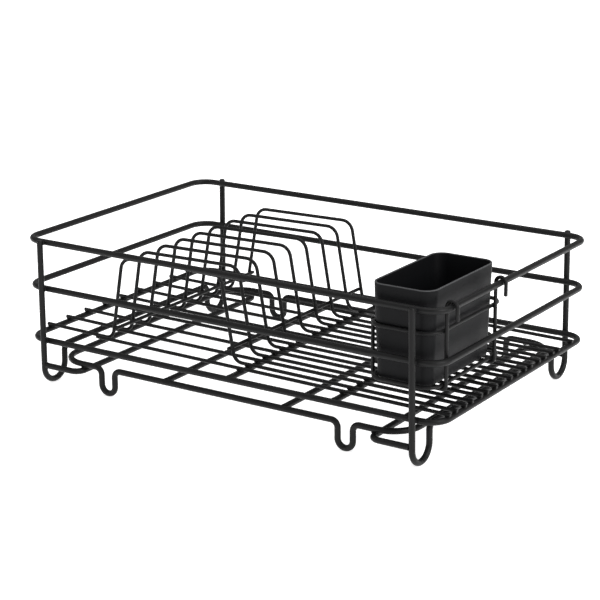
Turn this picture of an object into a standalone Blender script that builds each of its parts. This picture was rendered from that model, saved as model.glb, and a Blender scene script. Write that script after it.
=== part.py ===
"""Two-level dish drying rack of welded wire: plate hoops on the left, a cutlery cup on the right."""

from math import ceil, cos, hypot, pi, radians, sin, tan

import bmesh
import bpy
from mathutils import Vector

# All lengths are in metres. X runs along the rack, Y to its back, and Z = 0 is the table.
HEAVY_R = 0.0027  # radius of the frame wire with its powder coat
THIN_R = 0.0016  # radius of the hoop and floor wire with its powder coat
WELD_GAP = 0.0003  # room left where two wires would be welded
BUTT_STEP = HEAVY_R + WELD_GAP  # from the end of a wire to the middle of the frame wire it butts
HEAVY_STEP = 2 * HEAVY_R + WELD_GAP  # centre distance of two frame wires laid together
THIN_STEP = 2 * THIN_R + WELD_GAP
MIXED_STEP = HEAVY_R + THIN_R + WELD_GAP
ARC_STEP = radians(18.0)  # turn of one straight piece inside a bend
BEND_SLACK = 0.00001  # keeps a U bend from using up the whole of its leg spacing

# Three rings, one above another, make the basket's wall.
RING_HALF_X = 0.2100
RING_HALF_Y = 0.1308
RING_BEND = 0.0165
FOOT_Z = HEAVY_R
TOP_Z = 0.1316
MIDDLE_Z = 0.0890
LOWER_Z = 0.0406

# Each end frame is one wire: two posts, two U feet and a floor wire from front to back.
POST_X = 0.1881  # at the top of the posts, which lean out to FOOT_X
FOOT_X = 0.1896
POST_Y = RING_HALF_Y + HEAVY_STEP
POST_TOP_Z = TOP_Z + HEAVY_R
FOOT_BEND = 0.0138
INNER_LEG_Y = POST_Y - 2 * FOOT_BEND
CROSS_Z = 0.0313
CROSS_BEND = 0.0060

# The base ring hangs below the basket and carries four narrow U feet.
BASE_HALF_X = 0.1780
BASE_FRONT_Y = -0.1290
BASE_BACK_Y = POST_Y
BASE_BEND = 0.0250
BASE_Z = 0.0248
BASE_FOOT_X = 0.1227
BASE_FOOT_HALF = 0.0073
BASE_FOOT_TOP_BEND = 0.0060
STRETCHER_Z = BASE_Z - HEAVY_STEP
STRETCHER_X = 0.1500
STRETCHER_BEND = 0.0090
BASE_RAIL_X = 0.0610
FLOOR_RAIL_X = (0.0068, 0.1110)

# Nine wires run along the floor and rise into a hoop. A straight wire lies before all but the last.
HOOP_COUNT = 9
STRAIGHT_COUNT = 8
HOOP_FIRST_Y = -0.1062
HOOP_LEFT_END_Y = 0.0030  # the left end of the wire lies this much further back than its left leg
HOOP_PITCH = 0.0260
HOOP_SHIFT_Y = 0.0055  # the right leg stands this much further back than the left one
FLOOR_Z = LOWER_Z + MIXED_STEP
FLOOR_LEFT_X = -0.2122
FLOOR_RIGHT_X = 0.2130
HOOP_TOP_Z = 0.1209
HOOP_FLOOR_LEFT_X = -0.1345
HOOP_FLOOR_RIGHT_X = -0.0063
HOOP_TOP_LEFT_X = -0.1209
HOOP_TOP_RIGHT_X = -0.0195
HOOP_TOP_BEND = 0.0110
HOOP_FOOT_BEND = 0.0090
STRAIGHT_SIDE_Y = 0.0038  # a straight wire starts this far in front of its hoop wire
STRAIGHT_END_Y = 0.0111  # and ends this far in front of it
STRAIGHT_LEFT_X = -0.1500
TIE_Z = FLOOR_Z + 0.0107
TIE_END = 0.0018  # the ties run this far past the first and last hoops

# The cutlery cup is a moulded box that narrows to its base.
CUP_X = 0.1706
CUP_Y = -0.0712
CUP_RIM_Z = 0.1453
CUP_BASE_Z = 0.0650
CUP_HALF_X = 0.0283
CUP_HALF_Y = 0.0541
CUP_TAPER = 0.0030
CUP_CORNER = 0.0115
CUP_WALL = 0.0016
CUP_FLOOR = 0.0020
CUP_BASE_ROUND = 0.0030
CUP_RIM_ROUND = 0.0005
CUP_CORNER_STEPS = 5

# The holder hangs on the right rail of the top ring: two hook wires and two hoops round the cup.
HOOK_Y = (-0.1120, -0.0315)
HOOK_X = RING_HALF_X - MIXED_STEP
HOOK_TIP_Z = TOP_Z - 0.0108
HOLDER_HOOP_X = HOOK_X - THIN_STEP
HOLDER_HALF_X = 0.0301
HOLDER_X = HOLDER_HOOP_X - HOLDER_HALF_X
HOLDER_Y = -0.0690
HOLDER_HALF_Y = 0.0570
HOLDER_CORNER = 0.0125
HOLDER_HOOP_Z = 0.1110
HOOK_RUN_Z = CUP_BASE_Z - THIN_R - WELD_GAP
HOLDER_BASE_Z = HOOK_RUN_Z + THIN_STEP
HOOK_LEFT_X = HOLDER_X - HOLDER_HALF_X - THIN_STEP


def clear_scene():
    for obj in list(bpy.data.objects):
        bpy.data.objects.remove(obj)


def principled(name, colour, roughness, coat):
    material = bpy.data.materials.new(name)
    material.use_nodes = True
    shader = material.node_tree.nodes["Principled BSDF"]
    shader.inputs["Base Color"].default_value = (*colour, 1.0)
    shader.inputs["Roughness"].default_value = roughness
    shader.inputs["Coat Weight"].default_value = coat
    return material


def powder_coat(name):
    return principled(name + "_powder_coat", (0.020, 0.020, 0.021), 0.42, 0.1)


def moulded_plastic(name):
    return principled(name + "_plastic", (0.026, 0.026, 0.028), 0.50, 0.0)


def bent(corners, closed=False):
    """The path through the corners (point, bend radius), with a round arc at each one."""
    path = []
    count = len(corners)
    for i, (corner, radius) in enumerate(corners):
        corner = Vector(corner)
        if not closed and i in (0, count - 1):
            path.append(corner)
            continue
        back = (Vector(corners[i - 1][0]) - corner).normalized()
        ahead = (Vector(corners[(i + 1) % count][0]) - corner).normalized()
        turn = pi - back.angle(ahead)
        cut = radius * tan(turn / 2)
        centre = corner + (back + ahead).normalized() * radius / cos(turn / 2)
        start = corner + back * cut - centre
        side = -back
        steps = max(2, ceil(turn / ARC_STEP))
        for k in range(steps + 1):
            angle = turn * k / steps
            path.append(centre + start * cos(angle) + side * radius * sin(angle))
    return path


def wire(collection, name, radius, corners, closed=False, parent=None):
    """One wire as a bevelled curve. Its points are in world space, and its origin is its parent."""
    home = parent.location if parent else Vector((0.0, 0.0, 0.0))
    path = bent(corners, closed)
    curve = bpy.data.curves.new(name, "CURVE")
    curve.dimensions = "3D"
    curve.render_resolution_u = 0
    curve.bevel_depth = radius
    curve.bevel_resolution = 2
    curve.use_fill_caps = not closed
    spline = curve.splines.new("POLY")
    spline.points.add(len(path) - 1)
    for point, place in zip(spline.points, path):
        point.co = (*(place - home), 1.0)
    spline.use_cyclic_u = closed
    curve.materials.append(powder_coat(name))
    obj = bpy.data.objects.new(name, curve)
    obj.parent = parent
    collection.objects.link(obj)
    return obj


def rectangle(centre_x, centre_y, half_x, half_y, z, radius):
    """The corners of a level rounded rectangle, for a closed wire."""
    signs = ((-1, -1), (1, -1), (1, 1), (-1, 1))
    return [((centre_x + sx * half_x, centre_y + sy * half_y, z), radius) for sx, sy in signs]


def build_rings(collection):
    for name, z in (("top", TOP_Z), ("middle", MIDDLE_Z), ("lower", LOWER_Z)):
        corners = rectangle(0.0, 0.0, RING_HALF_X, RING_HALF_Y, z, RING_BEND)
        wire(collection, "ring_" + name, HEAVY_R, corners, closed=True)


def post_x(z):
    """How far out the leaning end frame stands at one height."""
    return FOOT_X + (POST_X - FOOT_X) * (z - FOOT_Z) / (POST_TOP_Z - FOOT_Z)


def build_end_frame(collection, side, sign):
    front = [
        ((sign * POST_X, -POST_Y, POST_TOP_Z), 0.0),
        ((sign * FOOT_X, -POST_Y, FOOT_Z), FOOT_BEND - BEND_SLACK),
        ((sign * FOOT_X, -INNER_LEG_Y, FOOT_Z), FOOT_BEND - BEND_SLACK),
        ((sign * post_x(CROSS_Z), -INNER_LEG_Y, CROSS_Z), CROSS_BEND),
    ]
    back = [((px, -py, pz), radius) for (px, py, pz), radius in reversed(front)]
    wire(collection, "end_frame_" + side, HEAVY_R, front + back)


def build_base_ring(collection):
    def side(y, direction):
        """One long side from corner to corner, with a U foot near each end."""
        corners = [((-direction * BASE_HALF_X, y, BASE_Z), BASE_BEND)]
        for foot_x in (-direction * BASE_FOOT_X, direction * BASE_FOOT_X):
            near = foot_x - direction * BASE_FOOT_HALF
            far = foot_x + direction * BASE_FOOT_HALF
            corners += [
                ((near, y, BASE_Z), BASE_FOOT_TOP_BEND),
                ((near, y, FOOT_Z), BASE_FOOT_HALF - BEND_SLACK),
                ((far, y, FOOT_Z), BASE_FOOT_HALF - BEND_SLACK),
                ((far, y, BASE_Z), BASE_FOOT_TOP_BEND),
            ]
        return corners + [((direction * BASE_HALF_X, y, BASE_Z), BASE_BEND)]

    corners = side(BASE_FRONT_Y, 1) + side(BASE_BACK_Y, -1)
    wire(collection, "base_ring", HEAVY_R, corners, closed=True)


def build_stretcher(collection, side, sign):
    """A bent wire under the base ring, from the front post inboard, back, and out to the back post."""
    end_x = sign * (post_x(STRETCHER_Z) - BUTT_STEP)
    corners = [
        ((end_x, -POST_Y, STRETCHER_Z), 0.0),
        ((sign * STRETCHER_X, -POST_Y, STRETCHER_Z), STRETCHER_BEND),
        ((sign * STRETCHER_X, POST_Y, STRETCHER_Z), STRETCHER_BEND),
        ((end_x, POST_Y, STRETCHER_Z), 0.0),
    ]
    wire(collection, "stretcher_" + side, HEAVY_R, corners)


def build_cross_rail(collection, name, x, front_y, back_y, z):
    """A straight wire from front to back that butts against the wire at each end."""
    ends = (front_y + BUTT_STEP, back_y - BUTT_STEP)
    wire(collection, name, HEAVY_R, [((x, y, z), 0.0) for y in ends])


def hoop_left_y(index):
    return HOOP_FIRST_Y + index * HOOP_PITCH


def hoop_right_y(index):
    return hoop_left_y(index) + HOOP_SHIFT_Y


def build_plate_hoop(collection, index):
    left, right = hoop_left_y(index), hoop_right_y(index)
    corners = [
        ((FLOOR_LEFT_X, left + HOOP_LEFT_END_Y, FLOOR_Z), 0.0),
        ((HOOP_FLOOR_LEFT_X, left, FLOOR_Z), HOOP_FOOT_BEND),
        ((HOOP_TOP_LEFT_X, left, HOOP_TOP_Z), HOOP_TOP_BEND),
        ((HOOP_TOP_RIGHT_X, right, HOOP_TOP_Z), HOOP_TOP_BEND),
        ((HOOP_FLOOR_RIGHT_X, right, FLOOR_Z), HOOP_FOOT_BEND),
        ((FLOOR_RIGHT_X, left, FLOOR_Z), 0.0),
    ]
    wire(collection, f"plate_hoop_{index + 1}", THIN_R, corners)


def build_floor_wire(collection, index):
    y = hoop_left_y(index)
    corners = [
        ((STRAIGHT_LEFT_X, y - STRAIGHT_SIDE_Y, FLOOR_Z), 0.0),
        ((FLOOR_RIGHT_X, y - STRAIGHT_END_Y, FLOOR_Z), 0.0),
    ]
    wire(collection, f"floor_wire_{index + 1}", THIN_R, corners)


def build_hoop_tie(collection, side, floor_x, top_x, row_y):
    """A wire across the inner faces of one row of hoop legs, which lean by the slope below."""
    slope = (top_x - floor_x) / (HOOP_TOP_Z - FLOOR_Z)
    leg_x = floor_x + slope * (TIE_Z - FLOOR_Z)
    inward = 1.0 if slope > 0 else -1.0
    x = leg_x + inward * THIN_STEP * hypot(1.0, slope)
    ends = (row_y(0) - TIE_END, row_y(HOOP_COUNT - 1) + TIE_END)
    wire(collection, "hoop_tie_" + side, THIN_R, [((x, y, TIE_Z), 0.0) for y in ends])


def build_holder(collection, parent):
    for name, y in zip(("front", "back"), HOOK_Y):
        tip_x = RING_HALF_X + MIXED_STEP
        arch_z = TOP_Z + MIXED_STEP
        corners = [
            ((tip_x, y, HOOK_TIP_Z), 0.0),
            ((tip_x, y, arch_z), MIXED_STEP - BEND_SLACK),
            ((HOOK_X, y, arch_z), MIXED_STEP - BEND_SLACK),
            ((HOOK_X, y, HOOK_RUN_Z), THIN_STEP),
            ((HOOK_LEFT_X, y, HOOK_RUN_Z), THIN_STEP),
            ((HOOK_LEFT_X, y, HOLDER_HOOP_Z + THIN_R), 0.0),
        ]
        wire(collection, "holder_hook_" + name, THIN_R, corners, parent=parent)
    for name, z in (("hoop", HOLDER_HOOP_Z), ("base", HOLDER_BASE_Z)):
        corners = rectangle(HOLDER_X, HOLDER_Y, HOLDER_HALF_X, HOLDER_HALF_Y, z, HOLDER_CORNER)
        wire(collection, "holder_" + name, THIN_R, corners, closed=True, parent=parent)


def cup_loop(bm, inset, z, radius):
    """One level rounded rectangle of the cup, inset from the rim's outer face."""
    loop = []
    half_x, half_y = CUP_HALF_X - inset - radius, CUP_HALF_Y - inset - radius
    for quarter, (sx, sy) in enumerate(((1, 1), (-1, 1), (-1, -1), (1, -1))):
        for k in range(CUP_CORNER_STEPS + 1):
            angle = (quarter + k / CUP_CORNER_STEPS) * pi / 2
            x = sx * half_x + radius * cos(angle)
            y = sy * half_y + radius * sin(angle)
            loop.append(bm.verts.new((x, y, z)))
    return loop


def build_cup(collection, parent):
    height = CUP_RIM_Z - CUP_BASE_Z
    slope = CUP_TAPER / height

    def taper(z):
        return slope * (height - z)

    # From the middle of the underside, out and up the wall, over the rim and down to the inner floor.
    levels = [
        (taper(0.0) + CUP_BASE_ROUND, 0.0),
        (taper(0.0) + CUP_BASE_ROUND * (1 - sin(pi / 4)), CUP_BASE_ROUND * (1 - cos(pi / 4))),
        (taper(CUP_BASE_ROUND), CUP_BASE_ROUND),
        (taper(height - CUP_RIM_ROUND), height - CUP_RIM_ROUND),
        (CUP_RIM_ROUND, height),
        (CUP_WALL - CUP_RIM_ROUND, height),
        (CUP_WALL + taper(height - CUP_RIM_ROUND), height - CUP_RIM_ROUND),
        (CUP_WALL + taper(CUP_FLOOR + CUP_BASE_ROUND), CUP_FLOOR + CUP_BASE_ROUND),
        (CUP_WALL + taper(CUP_FLOOR) + CUP_BASE_ROUND, CUP_FLOOR),
    ]
    mesh = bpy.data.meshes.new("cutlery_cup")
    bm = bmesh.new()
    loops = [cup_loop(bm, inset, z, CUP_CORNER - inset) for inset, z in levels]
    for lower, upper in zip(loops, loops[1:]):
        for i in range(len(lower)):
            j = (i + 1) % len(lower)
            bm.faces.new((lower[i], lower[j], upper[j], upper[i]))
    bm.faces.new(list(reversed(loops[0])))
    bm.faces.new(loops[-1])
    bm.normal_update()
    bm.to_mesh(mesh)
    bm.free()
    mesh.materials.append(moulded_plastic("cutlery_cup"))
    obj = bpy.data.objects.new("cutlery_cup", mesh)
    obj.parent = parent
    collection.objects.link(obj)


def joint_empty(collection, name, location, parent=None):
    empty = bpy.data.objects.new(name, None)
    empty.empty_display_size = 0.02
    empty.location = Vector(location) - (parent.location if parent else Vector())
    empty.parent = parent
    collection.objects.link(empty)
    return empty


def main():
    clear_scene()
    rack = bpy.data.collections.new("dish_drying_rack")
    bpy.context.scene.collection.children.link(rack)

    build_rings(rack)
    for side, sign in (("left", -1), ("right", 1)):
        build_end_frame(rack, side, sign)
        build_stretcher(rack, side, sign)
        rail_x = sign * BASE_RAIL_X
        build_cross_rail(rack, "base_rail_" + side, rail_x, BASE_FRONT_Y, BASE_BACK_Y, BASE_Z)
    build_base_ring(rack)
    for side, x in zip(("centre", "right"), FLOOR_RAIL_X):
        build_cross_rail(rack, "floor_rail_" + side, x, -RING_HALF_Y, RING_HALF_Y, LOWER_Z)
    for index in range(HOOP_COUNT):
        build_plate_hoop(rack, index)
    for index in range(STRAIGHT_COUNT):
        build_floor_wire(rack, index)
    build_hoop_tie(rack, "left", HOOP_FLOOR_LEFT_X, HOOP_TOP_LEFT_X, hoop_left_y)
    build_hoop_tie(rack, "right", HOOP_FLOOR_RIGHT_X, HOOP_TOP_RIGHT_X, hoop_right_y)

    # The holder lifts off the rail, and the cup lifts out of the holder.
    holder_slide = joint_empty(rack, "holder_slide", (RING_HALF_X, CUP_Y, TOP_Z))
    build_holder(rack, holder_slide)
    cup_slide = joint_empty(rack, "cup_slide", (CUP_X, CUP_Y, CUP_BASE_Z), holder_slide)
    build_cup(rack, cup_slide)


main()
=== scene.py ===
import math

import bmesh
import bpy
from mathutils import Matrix, Vector


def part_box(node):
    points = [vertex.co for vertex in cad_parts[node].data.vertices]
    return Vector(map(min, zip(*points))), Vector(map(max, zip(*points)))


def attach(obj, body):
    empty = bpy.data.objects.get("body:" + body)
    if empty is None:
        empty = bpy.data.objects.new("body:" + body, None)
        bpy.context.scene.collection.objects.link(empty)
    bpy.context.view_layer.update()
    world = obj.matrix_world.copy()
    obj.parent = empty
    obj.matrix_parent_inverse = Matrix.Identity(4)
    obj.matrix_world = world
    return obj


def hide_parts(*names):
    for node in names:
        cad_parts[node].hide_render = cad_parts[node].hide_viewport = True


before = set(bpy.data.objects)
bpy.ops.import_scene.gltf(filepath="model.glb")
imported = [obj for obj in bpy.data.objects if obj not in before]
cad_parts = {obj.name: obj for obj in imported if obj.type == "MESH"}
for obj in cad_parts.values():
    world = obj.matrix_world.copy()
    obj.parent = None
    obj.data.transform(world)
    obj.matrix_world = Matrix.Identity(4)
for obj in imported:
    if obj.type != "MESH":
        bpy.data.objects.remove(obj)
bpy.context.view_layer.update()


# the two finishes: powder coat on every wire, matt plastic on the cup, with a painted highlight
# along the cup's rim
coatFinish = {
    "black": (0.0040, 0.0040, 0.0042),
    "worn": (0.0075, 0.0075, 0.0076),
    "shine": 0.16,
    "roughLow": 0.36,
    "roughHigh": 0.50,
    "pebbleScale": 900.0,
    "pebbleDepth": 0.00012,
    "pebbleStrength": 0.6,
    "grainScale": 4200.0,
    "grainDepth": 0.00003,
    "grainStrength": 0.5,
    "cloudScale": 45.0,
}

plasticFinish = {
    "black": (0.0030, 0.0031, 0.0036),
    "worn": (0.0055, 0.0056, 0.0063),
    "shine": 0.10,
    "roughLow": 0.42,
    "roughHigh": 0.56,
    "pebbleScale": 2600.0,
    "pebbleDepth": 0.00004,
    "pebbleStrength": 0.6,
    "grainScale": 9000.0,
    "grainDepth": 0.000015,
    "grainStrength": 0.5,
    "cloudScale": 28.0,
    # painted highlight colour for the top of the cup's rim, and how far below the top it starts
    "rim": (0.060, 0.061, 0.063),
    "paintedRimHighlightDepth": 0.0009,
}
noiseLow, noiseHigh = 0.3, 0.7  # where nearly all of a noise texture's values lie


def addNode(tree, kind, place, **values):
    # adds a node and sets its own options or its inputs, whichever the name fits
    node = tree.nodes.new(kind)
    node.location = place
    for key, value in values.items():
        if hasattr(node, key):
            setattr(node, key, value)
        else:
            node.inputs[key.replace("_", " ")].default_value = value
    return node


def makeCoating(name, finish):
    # a coating with pebbled skin, fine grain, and slow changes of shade and gloss
    material = bpy.data.materials.new(name)
    material.use_nodes = True
    tree = material.node_tree
    link = tree.links.new
    shader = tree.nodes["Principled BSDF"]
    shader.inputs["Specular IOR Level"].default_value = finish["shine"]
    where = addNode(tree, "ShaderNodeTexCoord", (-1300, 0))
    noise = "ShaderNodeTexNoise"
    clouds = addNode(tree, noise, (-1000, 250), Scale=finish["cloudScale"], Detail=3.0)
    pebbles = addNode(tree, noise, (-1000, -50), Scale=finish["pebbleScale"], Detail=2.0)
    grain = addNode(tree, noise, (-1000, -350), Scale=finish["grainScale"], Detail=1.0)
    for texture in (clouds, pebbles, grain):
        link(where.outputs["Object"], texture.inputs["Vector"])
    shade = addNode(tree, "ShaderNodeMix", (-600, 300), data_type="RGBA")
    shade.inputs["A"].default_value = (*finish["black"], 1.0)
    shade.inputs["B"].default_value = (*finish["worn"], 1.0)
    link(clouds.outputs["Fac"], shade.inputs["Factor"])
    link(shade.outputs["Result"], shader.inputs["Base Color"])
    rough = addNode(tree, "ShaderNodeMapRange", (-600, 50))
    rough.inputs["From Min"].default_value = noiseLow
    rough.inputs["From Max"].default_value = noiseHigh
    rough.inputs["To Min"].default_value = finish["roughLow"]
    rough.inputs["To Max"].default_value = finish["roughHigh"]
    link(pebbles.outputs["Fac"], rough.inputs["Value"])
    link(rough.outputs["Result"], shader.inputs["Roughness"])
    coarse = addNode(tree, "ShaderNodeBump", (-400, -200),
                     Strength=finish["pebbleStrength"], Distance=finish["pebbleDepth"])
    fine = addNode(tree, "ShaderNodeBump", (-200, -300),
                   Strength=finish["grainStrength"], Distance=finish["grainDepth"])
    link(pebbles.outputs["Fac"], coarse.inputs["Height"])
    link(grain.outputs["Fac"], fine.inputs["Height"])
    link(coarse.outputs["Normal"], fine.inputs["Normal"])
    link(fine.outputs["Normal"], shader.inputs["Normal"])
    return material


def addPaintedRimHighlight(material, finish, top):
    # a painted highlight: a paler colour painted along the top of the moulded rim, standing in for
    # the light its rounded edge catches
    tree = material.node_tree
    link = tree.links.new
    shader = tree.nodes["Principled BSDF"]
    under = shader.inputs["Base Color"].links[0].from_socket
    where = addNode(tree, "ShaderNodeTexCoord", (-900, 700))
    split = addNode(tree, "ShaderNodeSeparateXYZ", (-700, 700))
    rise = addNode(tree, "ShaderNodeMapRange", (-500, 700))
    rise.inputs["From Min"].default_value = top - finish["paintedRimHighlightDepth"]
    rise.inputs["From Max"].default_value = top - finish["paintedRimHighlightDepth"] / 2
    blend = addNode(tree, "ShaderNodeMix", (-300, 500), data_type="RGBA")
    blend.inputs["B"].default_value = (*finish["rim"], 1.0)
    link(where.outputs["Object"], split.inputs["Vector"])
    link(split.outputs["Z"], rise.inputs["Value"])
    link(rise.outputs["Result"], blend.inputs["Factor"])
    link(under, blend.inputs["A"])
    link(blend.outputs["Result"], shader.inputs["Base Color"])


powderCoat = makeCoating("satinPowderCoat", coatFinish)
cupPlastic = makeCoating("mattCupPlastic", plasticFinish)
# paints the paler highlight colour onto the top of the cup's rim
addPaintedRimHighlight(cupPlastic, plasticFinish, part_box("cutlery_cup")[1].z)
for nodeName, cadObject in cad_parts.items():
    cadObject.data.materials.clear()
    cadObject.data.materials.append(cupPlastic if nodeName == "cutlery_cup" else powderCoat)
print("finishes made")


def newTree(name, sockets):
    # an empty geometry tree with the given inputs, and its two end nodes
    tree = bpy.data.node_groups.new(name, "GeometryNodeTree")
    tree.interface.new_socket("Geometry", in_out="INPUT", socket_type="NodeSocketGeometry")
    for label, kind in sockets:
        tree.interface.new_socket(label, in_out="INPUT", socket_type="NodeSocket" + kind)
    tree.interface.new_socket("Geometry", in_out="OUTPUT", socket_type="NodeSocketGeometry")
    start = addNode(tree, "NodeGroupInput", (-1200, 0))
    end = addNode(tree, "NodeGroupOutput", (1200, 0))
    return tree, start, end


def readAttribute(tree, place, kind, label):
    return addNode(tree, "GeometryNodeInputNamedAttribute", place, data_type=kind, Name=label)


def makeWireTree():
    # sweeps a round wire along cornered paths, bends each corner, and repeats the result in a row
    tree, start, end = newTree("bentWireRow", [
        ("Wire Radius", "Float"), ("Sides", "Int"), ("Bend Steps", "Int"),
        ("Copies", "Int"), ("Spacing", "Vector"), ("Material", "Material"),
    ])
    link = tree.links.new
    path = addNode(tree, "GeometryNodeMeshToCurve", (-1000, 200))
    bend = readAttribute(tree, (-1000, 0), "FLOAT", "bend")
    fillet = addNode(tree, "GeometryNodeFilletCurve", (-800, 200), mode="POLY")
    fillet.inputs["Limit Radius"].default_value = True
    thick = readAttribute(tree, (-800, -100), "FLOAT", "thick")
    section = addNode(tree, "GeometryNodeCurvePrimitiveCircle", (-600, -200))
    sweep = addNode(tree, "GeometryNodeCurveToMesh", (-400, 200))
    sweep.inputs["Fill Caps"].default_value = True
    smooth = addNode(tree, "GeometryNodeSetShadeSmooth", (-200, 200))
    row = addNode(tree, "GeometryNodeMeshLine", (-200, -200), mode="OFFSET")
    repeat = addNode(tree, "GeometryNodeInstanceOnPoints", (100, 100))
    realize = addNode(tree, "GeometryNodeRealizeInstances", (400, 100))
    paint = addNode(tree, "GeometryNodeSetMaterial", (700, 100))
    link(start.outputs["Geometry"], path.inputs["Mesh"])
    link(path.outputs["Curve"], fillet.inputs["Curve"])
    link(bend.outputs["Attribute"], fillet.inputs["Radius"])
    link(start.outputs["Bend Steps"], fillet.inputs["Count"])
    link(start.outputs["Wire Radius"], section.inputs["Radius"])
    link(start.outputs["Sides"], section.inputs["Resolution"])
    link(fillet.outputs["Curve"], sweep.inputs["Curve"])
    link(section.outputs["Curve"], sweep.inputs["Profile Curve"])
    link(thick.outputs["Attribute"], sweep.inputs["Scale"])
    link(sweep.outputs["Mesh"], smooth.inputs["Geometry"])
    link(start.outputs["Copies"], row.inputs["Count"])
    link(start.outputs["Spacing"], row.inputs["Offset"])
    link(row.outputs["Mesh"], repeat.inputs["Points"])
    link(smooth.outputs["Geometry"], repeat.inputs["Instance"])
    link(repeat.outputs["Instances"], realize.inputs["Geometry"])
    link(realize.outputs["Geometry"], paint.inputs["Geometry"])
    link(start.outputs["Material"], paint.inputs["Material"])
    link(paint.outputs["Geometry"], end.inputs["Geometry"])
    return tree


def makeWeldTree():
    # puts a flattened bead at each weld point, turned to the wires that meet there
    tree, start, end = newTree("weldBeads", [
        ("Segments", "Int"), ("Rings", "Int"), ("Material", "Material"),
    ])
    link = tree.links.new
    across = readAttribute(tree, (-1000, -100), "FLOAT_VECTOR", "across")
    along = readAttribute(tree, (-1000, -300), "FLOAT_VECTOR", "along")
    size = readAttribute(tree, (-1000, -500), "FLOAT_VECTOR", "size")
    bead = addNode(tree, "GeometryNodeMeshUVSphere", (-700, -100), Radius=1.0)
    turn = addNode(tree, "FunctionNodeAxesToRotation", (-700, -300),
                   primary_axis="Z", secondary_axis="X")
    place = addNode(tree, "GeometryNodeInstanceOnPoints", (-300, 0))
    realize = addNode(tree, "GeometryNodeRealizeInstances", (0, 0))
    smooth = addNode(tree, "GeometryNodeSetShadeSmooth", (300, 0))
    paint = addNode(tree, "GeometryNodeSetMaterial", (600, 0))
    link(start.outputs["Geometry"], place.inputs["Points"])
    link(start.outputs["Segments"], bead.inputs["Segments"])
    link(start.outputs["Rings"], bead.inputs["Rings"])
    link(bead.outputs["Mesh"], place.inputs["Instance"])
    link(across.outputs["Attribute"], turn.inputs["Primary Axis"])
    link(along.outputs["Attribute"], turn.inputs["Secondary Axis"])
    link(turn.outputs["Rotation"], place.inputs["Rotation"])
    link(size.outputs["Attribute"], place.inputs["Scale"])
    link(place.outputs["Instances"], realize.inputs["Geometry"])
    link(realize.outputs["Geometry"], smooth.inputs["Geometry"])
    link(smooth.outputs["Geometry"], paint.inputs["Geometry"])
    link(start.outputs["Material"], paint.inputs["Material"])
    link(paint.outputs["Geometry"], end.inputs["Geometry"])
    return tree


wireTree = makeWireTree()
weldTree = makeWeldTree()


def grow(name, mesh, tree, values):
    # runs a tree on a mesh and returns the result as a plain mesh object
    seed = bpy.data.objects.new(name + "Seed", mesh)
    bpy.context.scene.collection.objects.link(seed)
    modifier = seed.modifiers.new("grow", "NODES")
    modifier.node_group = tree
    for item in tree.interface.items_tree:
        if item.item_type == "SOCKET" and item.in_out == "INPUT" and item.name in values:
            modifier[item.identifier] = values[item.name]
    seed.update_tag()
    graph = bpy.context.evaluated_depsgraph_get()
    graph.update()
    grown = bpy.data.meshes.new_from_object(seed.evaluated_get(graph), depsgraph=graph)
    bpy.data.objects.remove(seed)
    for label in ("bend", "thick", "across", "along", "size"):
        if label in grown.attributes:
            grown.attributes.remove(grown.attributes[label])
    grown.name = name
    piece = bpy.data.objects.new(name, grown)
    bpy.context.scene.collection.objects.link(piece)
    return piece


wireLook = {
    "sides": 20,
    "bendSteps": 9,
    # the rounded tip: (way in, width), both in wire radii
    "tipRound": ((0.0, 0.70), (0.10, 0.88), (0.30, 0.98), (0.60, 1.0)),
}
# for the welds: body name to (start, end, radius, wire number) of every straight run
wireRuns = {}


def tipPoints(tip, inner, radius):
    # the rounded cut end of a wire, from the tip inwards
    way = (inner - tip).normalized()
    return [(tip + way * radius * along, 0.0, width) for along, width in wireLook["tipRound"]]


def pathMesh(name, corners, radius, closed, rounded):
    # the corners (place, bend radius) as a line of edges for the wire tree
    points = [(Vector(place), bend, 1.0) for place, bend in corners]
    if rounded and not closed:
        head = tipPoints(points[0][0], points[1][0], radius)
        tail = tipPoints(points[-1][0], points[-2][0], radius)
        points = head + points[1:-1] + tail[::-1]
    count = len(points)
    edges = [(i, i + 1) for i in range(count - 1)] + ([(count - 1, 0)] if closed else [])
    places, bends, widths = zip(*points)
    mesh = bpy.data.meshes.new(name + "Path")
    mesh.from_pydata(places, edges, [])
    mesh.attributes.new("bend", "FLOAT", "POINT").data.foreach_set("value", bends)
    mesh.attributes.new("thick", "FLOAT", "POINT").data.foreach_set("value", widths)
    return mesh


def makeWire(name, body, nodes, corners, radius,
             closed=False, rounded=True, copies=1, spacing=(0.0, 0.0, 0.0)):
    # one wire, or a row of copies, in place of its nodes
    mesh = pathMesh(name, corners, radius, closed, rounded)
    piece = grow(name, mesh, wireTree, {
        "Wire Radius": radius, "Sides": wireLook["sides"], "Bend Steps": wireLook["bendSteps"],
        "Copies": copies, "Spacing": spacing, "Material": powderCoat,
    })
    runs = wireRuns.setdefault(body, [])
    places = [Vector(place) for place, bend in corners]
    ends = places[1:] + ([places[0]] if closed else [])
    for copy in range(copies):
        shift = Vector(spacing) * copy
        number = runs[-1][3] + 1 if runs else 0
        runs += [(a + shift, b + shift, radius, number) for a, b in zip(places, ends)]
    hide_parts(*nodes)
    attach(piece, body)


heavyRadius = (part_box("ring_top")[1].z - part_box("ring_top")[0].z) / 2
thinRadius = (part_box("floor_wire_1")[1].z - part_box("floor_wire_1")[0].z) / 2


def inset(node, radius):
    # the box of the wire's centre line
    low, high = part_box(node)
    pad = Vector((radius, radius, radius))
    return low + pad, high - pad


def cornersOf(low, high, bend):
    # the corners of a level closed wire
    sides = ((low.x, low.y), (high.x, low.y), (high.x, high.y), (low.x, high.y))
    return [((x, y, low.z), bend) for x, y in sides]


# three rings, one above another
ringLook = {"bend": 0.0165}
for level in ("top", "middle", "lower"):
    low, high = inset("ring_" + level, heavyRadius)
    corners = cornersOf(low, high, ringLook["bend"])
    makeWire("ring" + level.capitalize() + "Wire", "basket", ["ring_" + level],
             corners, heavyRadius, closed=True)

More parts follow.
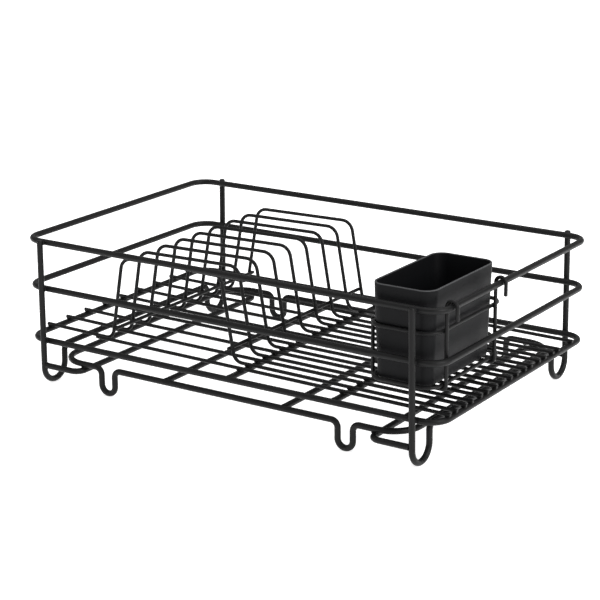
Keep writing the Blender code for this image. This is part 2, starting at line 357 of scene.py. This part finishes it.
# end frames: post, U foot, cross wire, U foot and post in one wire, leaning out to the feet
endFrameLook = {"footBend": 0.0138, "crossHeight": 0.0313, "crossBend": 0.006}
for side in ("left", "right"):
    low, high = inset("end_frame_" + side, heavyRadius)
    topX, footX = (low.x, high.x) if side == "right" else (high.x, low.x)
    rise = (endFrameLook["crossHeight"] - low.z) / (high.z + heavyRadius - low.z)
    legY = low.y + 2 * endFrameLook["footBend"]
    front = [
        ((topX, low.y, high.z + heavyRadius), 0.0),
        ((footX, low.y, low.z), endFrameLook["footBend"]),
        ((footX, legY, low.z), endFrameLook["footBend"]),
        ((footX + (topX - footX) * rise, legY, endFrameLook["crossHeight"]),
         endFrameLook["crossBend"]),
    ]
    back = [((px, -py, pz), bend) for (px, py, pz), bend in reversed(front)]
    makeWire("endFrame" + side.capitalize() + "Wire", "basket", ["end_frame_" + side],
             front + back, heavyRadius)

# base ring with two U feet at the front and two at the back
baseRingLook = {"bend": 0.025, "footX": 0.1227, "footHalf": 0.0073, "footTopBend": 0.006}
low, high = inset("base_ring", heavyRadius)
corners = []
for y, way in ((low.y, 1), (high.y, -1)):
    corners.append(((way * low.x, y, high.z), baseRingLook["bend"]))
    for footX in (-way * baseRingLook["footX"], way * baseRingLook["footX"]):
        footHalf, topBend = baseRingLook["footHalf"], baseRingLook["footTopBend"]
        near, far = footX - way * footHalf, footX + way * footHalf
        corners += [
            ((near, y, high.z), topBend), ((near, y, low.z), footHalf),
            ((far, y, low.z), footHalf), ((far, y, high.z), topBend),
        ]
    corners.append(((way * high.x, y, high.z), baseRingLook["bend"]))
makeWire("baseRingWire", "basket", ["base_ring"], corners, heavyRadius, closed=True)

# stretchers under the base ring
stretcherLook = {"bend": 0.009}
for side, way in (("left", -1), ("right", 1)):
    low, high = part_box("stretcher_" + side)
    outer = low.x if way < 0 else high.x
    inner = high.x - heavyRadius if way < 0 else low.x + heavyRadius
    z = (low.z + high.z) / 2
    frontY, backY = low.y + heavyRadius, high.y - heavyRadius
    corners = [((outer, frontY, z), 0.0), ((inner, frontY, z), stretcherLook["bend"]),
               ((inner, backY, z), stretcherLook["bend"]), ((outer, backY, z), 0.0)]
    makeWire("stretcher" + side.capitalize() + "Wire", "basket", ["stretcher_" + side],
             corners, heavyRadius, rounded=False)

# straight rails from front to back, and the ties across the hoops' legs
for node, radius in (("base_rail_left", heavyRadius), ("base_rail_right", heavyRadius),
                     ("floor_rail_centre", heavyRadius), ("floor_rail_right", heavyRadius),
                     ("hoop_tie_left", thinRadius), ("hoop_tie_right", thinRadius)):
    low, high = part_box(node)
    x, z = (low.x + high.x) / 2, (low.z + high.z) / 2
    words = node.split("_")
    name = words[0] + "".join(word.capitalize() for word in words[1:]) + "Wire"
    makeWire(name, "basket", [node], [((x, low.y, z), 0.0), ((x, high.y, z), 0.0)], radius,
             rounded=radius < heavyRadius)

# nine plate hoops, each one wire along the floor that rises and comes down again
hoopLook = {
    "floorLeft": -0.1345, "floorRight": -0.0063, "topLeft": -0.1209, "topRight": -0.0195,
    "footBend": 0.009, "topBend": 0.011, "lapX": -0.1460, "leftEndShift": 0.003,
}
low, high = inset("plate_hoop_1", thinRadius)
nextLow, nextHigh = inset("plate_hoop_2", thinRadius)
hoopNodes = sorted(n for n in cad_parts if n.startswith("plate_hoop_"))
hoopPitch = nextLow - low
hoopCorners = [
    ((low.x - thinRadius, low.y + hoopLook["leftEndShift"], low.z), 0.0),
    ((hoopLook["floorLeft"], low.y, low.z), hoopLook["footBend"]),
    ((hoopLook["topLeft"], low.y, high.z), hoopLook["topBend"]),
    ((hoopLook["topRight"], high.y, high.z), hoopLook["topBend"]),
    ((hoopLook["floorRight"], high.y, low.z), hoopLook["footBend"]),
    ((high.x + thinRadius, low.y, low.z), 0.0),
]
makeWire("plateHoopWires", "basket", hoopNodes, hoopCorners, thinRadius,
         copies=len(hoopNodes), spacing=hoopPitch)

# eight straight floor wires, each beside a hoop wire at its left end
low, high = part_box("floor_wire_1")
straightY, straightEndY = high.y - thinRadius, low.y + thinRadius
straightZ = (low.z + high.z) / 2
straightNodes = sorted(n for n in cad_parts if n.startswith("floor_wire_"))
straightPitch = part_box("floor_wire_2")[0] - low
straightCorners = [
    ((low.x, straightY, straightZ), 0.0),
    ((high.x, straightEndY, straightZ), 0.0),
]
makeWire("floorWires", "basket", straightNodes, straightCorners, thinRadius,
         copies=len(straightNodes), spacing=straightPitch)
print("basket wires made")

# the cutlery holder: two hook wires and two hoops
holderLook = {"hoopBend": 0.0125, "runBend": 0.0035, "tipDrop": 0.0108}
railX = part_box("ring_top")[1].x - heavyRadius
railZ = (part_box("ring_top")[0].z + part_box("ring_top")[1].z) / 2
hoopZ = (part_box("holder_hoop")[0].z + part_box("holder_hoop")[1].z) / 2
for place in ("front", "back"):
    low, high = inset("holder_hook_" + place, thinRadius)
    y = (low.y + high.y) / 2
    archBend = high.x - railX
    innerX = railX - archBend
    corners = [
        ((high.x, y, railZ - holderLook["tipDrop"]), 0.0), ((high.x, y, high.z), archBend),
        ((innerX, y, high.z), archBend), ((innerX, y, low.z), holderLook["runBend"]),
        ((low.x, y, low.z), holderLook["runBend"]), ((low.x, y, hoopZ + thinRadius), 0.0),
    ]
    makeWire("holderHook" + place.capitalize() + "Wire", "holder", ["holder_hook_" + place],
             corners, thinRadius)
for node, name in (("holder_hoop", "holderHoopWire"), ("holder_base", "holderBaseWire")):
    low, high = inset(node, thinRadius)
    corners = cornersOf(low, high, holderLook["hoopBend"])
    makeWire(name, "holder", [node], corners, thinRadius, closed=True)
print("holder wires made")


# sizes are in wire radii, apart from reach and lapHalf
weldLook = {
    "reach": 0.0005, "spread": 0.95, "thickness": 0.30, "collar": 1.10, "collarDepth": 0.34,
    "lapHalf": 0.0040, "lapWidth": 0.8, "lapHeight": 0.75, "segments": 14, "rings": 8,
}
parallelLimit = 0.9  # wires closer to parallel than this get no weld of their own
tiny = 1e-6


def closestBetween(a, b, c, d):
    # nearest points of the segments a-b and c-d
    u, v, w = b - a, d - c, a - c
    uu, uv, vv, uw, vw = u.dot(u), u.dot(v), v.dot(v), u.dot(w), v.dot(w)
    below = uu * vv - uv * uv
    s = 0.0 if below < tiny ** 2 else max(0.0, min(1.0, (uv * vw - vv * uw) / below))
    t = max(0.0, min(1.0, (uv * s + vw) / vv))
    s = max(0.0, min(1.0, (uv * t - uw) / uu))
    return a + u * s, c + v * t


def findWelds(runs):
    # (middle, across, along, size) wherever two wires touch
    welds = []
    for i, (a, b, radiusA, wireA) in enumerate(runs):
        for c, d, radiusB, wireB in runs[i + 1:]:
            if wireA == wireB:
                continue
            wayA, wayB = (b - a).normalized(), (d - c).normalized()
            if abs(wayA.dot(wayB)) > parallelLimit:
                continue
            nearA, nearB = closestBetween(a, b, c, d)
            gap = (nearB - nearA).length
            if gap > radiusA + radiusB + weldLook["reach"]:
                continue
            across = (nearB - nearA).normalized()
            if gap > radiusA + radiusB - weldLook["reach"]:  # they cross, side to side
                middle = nearA + across * (radiusA + (gap - radiusA - radiusB) / 2)
                thick = weldLook["thickness"] * (radiusA + radiusB) / 2
                size = (weldLook["spread"] * radiusB, weldLook["spread"] * radiusA, thick)
                welds.append((middle, across, wayA, size))
            else:  # one wire ends against the other's side
                ends = min((nearA - a).length, (nearA - b).length) < tiny
                tip, radius, way = (nearA, radiusA, wayA) if ends else (nearB, radiusB, wayB)
                wide, deep = weldLook["collar"] * radius, weldLook["collarDepth"] * radius
                welds.append((tip, way, wayB if ends else wayA, (wide, wide, deep)))
    return welds


def makeWelds(name, body, welds):
    mesh = bpy.data.meshes.new(name + "Points")
    mesh.from_pydata([middle for middle, across, along, size in welds], [], [])
    for label, index in (("across", 1), ("along", 2), ("size", 3)):
        flat = [value for weld in welds for value in weld[index]]
        mesh.attributes.new(label, "FLOAT_VECTOR", "POINT").data.foreach_set("vector", flat)
    piece = grow(name, mesh, weldTree, {
        "Segments": weldLook["segments"], "Rings": weldLook["rings"], "Material": powderCoat,
    })
    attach(piece, body)
    print(name + ":", len(welds), "beads")


basketWelds = findWelds(wireRuns["basket"])
for index in range(len(straightNodes)):  # each straight wire is also welded along its hoop wire
    hoopY = hoopCorners[1][0][1] + index * hoopPitch.y
    lapY = (hoopY + straightY + index * straightPitch.y) / 2
    width, thickness = thinRadius * weldLook["lapWidth"], thinRadius * weldLook["lapHeight"]
    size = (weldLook["lapHalf"], width, thickness)
    middle = Vector((hoopLook["lapX"], lapY, straightZ))
    basketWelds.append((middle, Vector((0, 1, 0)), Vector((1, 0, 0)), size))
makeWelds("basketWelds", "basket", basketWelds)
makeWelds("holderWelds", "holder", findWelds(wireRuns["holder"]))


cupLook = {
    "taper": 0.0030, "corner": 0.0115, "leastCorner": 0.003, "wall": 0.0016, "floor": 0.0020,
    "baseRound": 0.0030, "rimRound": 0.0007, "innerRound": 0.0030,
    "cornerSteps": 14, "roundSteps": 6, "wallSteps": 10,
}


def cupRing(mesh, centre, halfX, halfY, z, radius):
    # one level rounded rectangle of points
    ring = []
    steps = cupLook["cornerSteps"]
    for quarter, (sx, sy) in enumerate(((1, 1), (-1, 1), (-1, -1), (1, -1))):
        for k in range(steps + 1):
            angle = (quarter + k / steps) * math.pi / 2
            x = centre.x + sx * (halfX - radius) + radius * math.cos(angle)
            y = centre.y + sy * (halfY - radius) + radius * math.sin(angle)
            ring.append(mesh.verts.new((x, y, z)))
    return ring


def makeCup():
    low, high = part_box("cutlery_cup")
    centre, half = (low + high) / 2, (high - low) / 2
    height = high.z - low.z
    wall, lip = cupLook["wall"], cupLook["rimRound"]
    outer, inner = cupLook["baseRound"], cupLook["innerRound"]
    steps = cupLook["roundSteps"]
    quarterTurn = [k / steps * math.pi / 2 for k in range(steps + 1)]
    shares = [k / cupLook["wallSteps"] for k in range(1, cupLook["wallSteps"])]

    def lean(z):
        return cupLook["taper"] * (height - z) / height

    # (inset from the rim's outer face, height), from the underside out, up, over and down inside
    profile = []
    for angle in quarterTurn:
        rise = outer * (1 - math.cos(angle))
        profile.append((lean(rise) + outer * (1 - math.sin(angle)), rise))
    for share in shares:
        z = outer + (height - lip - outer) * share
        profile.append((lean(z), z))
    for angle in quarterTurn:
        inwards = lip * (1 - math.cos(angle))
        profile.append((lean(height - lip) + inwards, height - lip + lip * math.sin(angle)))
    for angle in quarterTurn:
        inwards = wall - lip * (1 - math.sin(angle))
        profile.append((inwards, height - lip + lip * math.cos(angle)))
    for share in shares:
        z = height - lip - (height - lip - cupLook["floor"] - inner) * share
        profile.append((wall + lean(z), z))
    for angle in quarterTurn:
        z = cupLook["floor"] + inner * (1 - math.sin(angle))
        profile.append((wall + lean(z) + inner * (1 - math.cos(angle)), z))

    mesh = bmesh.new()
    rings = []
    for inwards, z in profile:
        corner = max(cupLook["leastCorner"], cupLook["corner"] - inwards)
        rings.append(cupRing(mesh, centre, half.x - inwards, half.y - inwards, low.z + z, corner))
    for lower, upper in zip(rings, rings[1:]):
        for i in range(len(lower)):
            j = (i + 1) % len(lower)
            mesh.faces.new((lower[i], lower[j], upper[j], upper[i]))
    mesh.faces.new(list(reversed(rings[0])))
    mesh.faces.new(rings[-1])
    bmesh.ops.recalc_face_normals(mesh, faces=mesh.faces)
    data = bpy.data.meshes.new("cutleryCupShell")
    mesh.to_mesh(data)
    mesh.free()
    for polygon in data.polygons:
        polygon.use_smooth = True
    data.materials.append(cupPlastic)
    piece = bpy.data.objects.new("cutleryCupShell", data)
    bpy.context.scene.collection.objects.link(piece)
    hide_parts("cutlery_cup")
    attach(piece, "cup")


makeCup()
print("cup made")


studioLook = {
    "floorShade": 0.92, "floorGlow": 0.72, "floorRough": 0.9, "floorHalf": 12.0,
    "skyShade": (1.0, 1.0, 1.0), "skyStrength": 0.42, "lampAim": (0.0, 0.0, 0.05),
    "lamps": (  # name, place, size, power
        ("keyLamp", (1.7, -0.3, 0.9), 0.9, 22.0),
        ("fillLamp", (-1.8, -1.6, 1.6), 1.8, 8.0),
        ("topLamp", (0.2, 0.2, 2.4), 2.6, 40.0),
    ),
}
cameraLook = {
    "lens": 113.217, "sensor": 36.0, "azimuth": 33.618, "elevation": 16.918, "roll": -0.4538,
    "distance": 1.6599, "aimSide": -0.004939, "aimUp": -0.054166, "nearest": 0.05, "farthest": 60.0,
}


def makeFloor():
    half = studioLook["floorHalf"]
    data = bpy.data.meshes.new("studioFloor")
    corners = [(-half, -half, 0), (half, -half, 0), (half, half, 0), (-half, half, 0)]
    data.from_pydata(corners, [], [(0, 1, 2, 3)])
    material = bpy.data.materials.new("paleFloor")
    material.use_nodes = True
    shader = material.node_tree.nodes["Principled BSDF"]
    shader.inputs["Base Color"].default_value = (*[studioLook["floorShade"]] * 3, 1.0)
    shader.inputs["Roughness"].default_value = studioLook["floorRough"]
    shader.inputs["Specular IOR Level"].default_value = 0.0
    shader.inputs["Emission Color"].default_value = (1.0, 1.0, 1.0, 1.0)
    shader.inputs["Emission Strength"].default_value = studioLook["floorGlow"]
    data.materials.append(material)
    floor = bpy.data.objects.new("studioFloor", data)
    bpy.context.scene.collection.objects.link(floor)


def makeLights():
    world = bpy.data.worlds.new("studioSky")
    bpy.context.scene.world = world
    world.use_nodes = True
    sky = world.node_tree.nodes["Background"]
    sky.inputs["Color"].default_value = (*studioLook["skyShade"], 1.0)
    sky.inputs["Strength"].default_value = studioLook["skyStrength"]
    for name, place, size, power in studioLook["lamps"]:
        data = bpy.data.lights.new(name, "AREA")
        data.size = size
        data.energy = power
        lamp = bpy.data.objects.new(name, data)
        lamp.location = place
        lamp.rotation_mode = "QUATERNION"
        aim = Vector(studioLook["lampAim"]) - Vector(place)
        lamp.rotation_quaternion = aim.to_track_quat("-Z", "Y")
        bpy.context.scene.collection.objects.link(lamp)


def makeCamera():
    azimuth, elevation = math.radians(cameraLook["azimuth"]), math.radians(cameraLook["elevation"])
    back = Vector((math.sin(azimuth) * math.cos(elevation),
                   -math.cos(azimuth) * math.cos(elevation), math.sin(elevation)))
    side = (-back).cross(Vector((0, 0, 1))).normalized()
    up = side.cross(-back)
    place = Vector((0, 0, railZ)) + back * cameraLook["distance"]
    place += side * cameraLook["aimSide"] + up * cameraLook["aimUp"]
    roll = math.radians(cameraLook["roll"])
    right = side * math.cos(roll) + up * math.sin(roll)
    top = up * math.cos(roll) - side * math.sin(roll)
    data = bpy.data.cameras.new("studioCamera")
    data.sensor_width = cameraLook["sensor"]
    data.lens = cameraLook["lens"]
    data.clip_start, data.clip_end = cameraLook["nearest"], cameraLook["farthest"]
    camera = bpy.data.objects.new("studioCamera", data)
    turn = Matrix((right, top, back)).transposed().to_4x4()
    camera.matrix_world = Matrix.Translation(place) @ turn
    bpy.context.scene.collection.objects.link(camera)
    bpy.context.scene.camera = camera


makeFloor()
makeLights()
makeCamera()
bpy.context.scene.view_settings.view_transform = "Standard"
bpy.context.view_layer.update()
print("studio made")
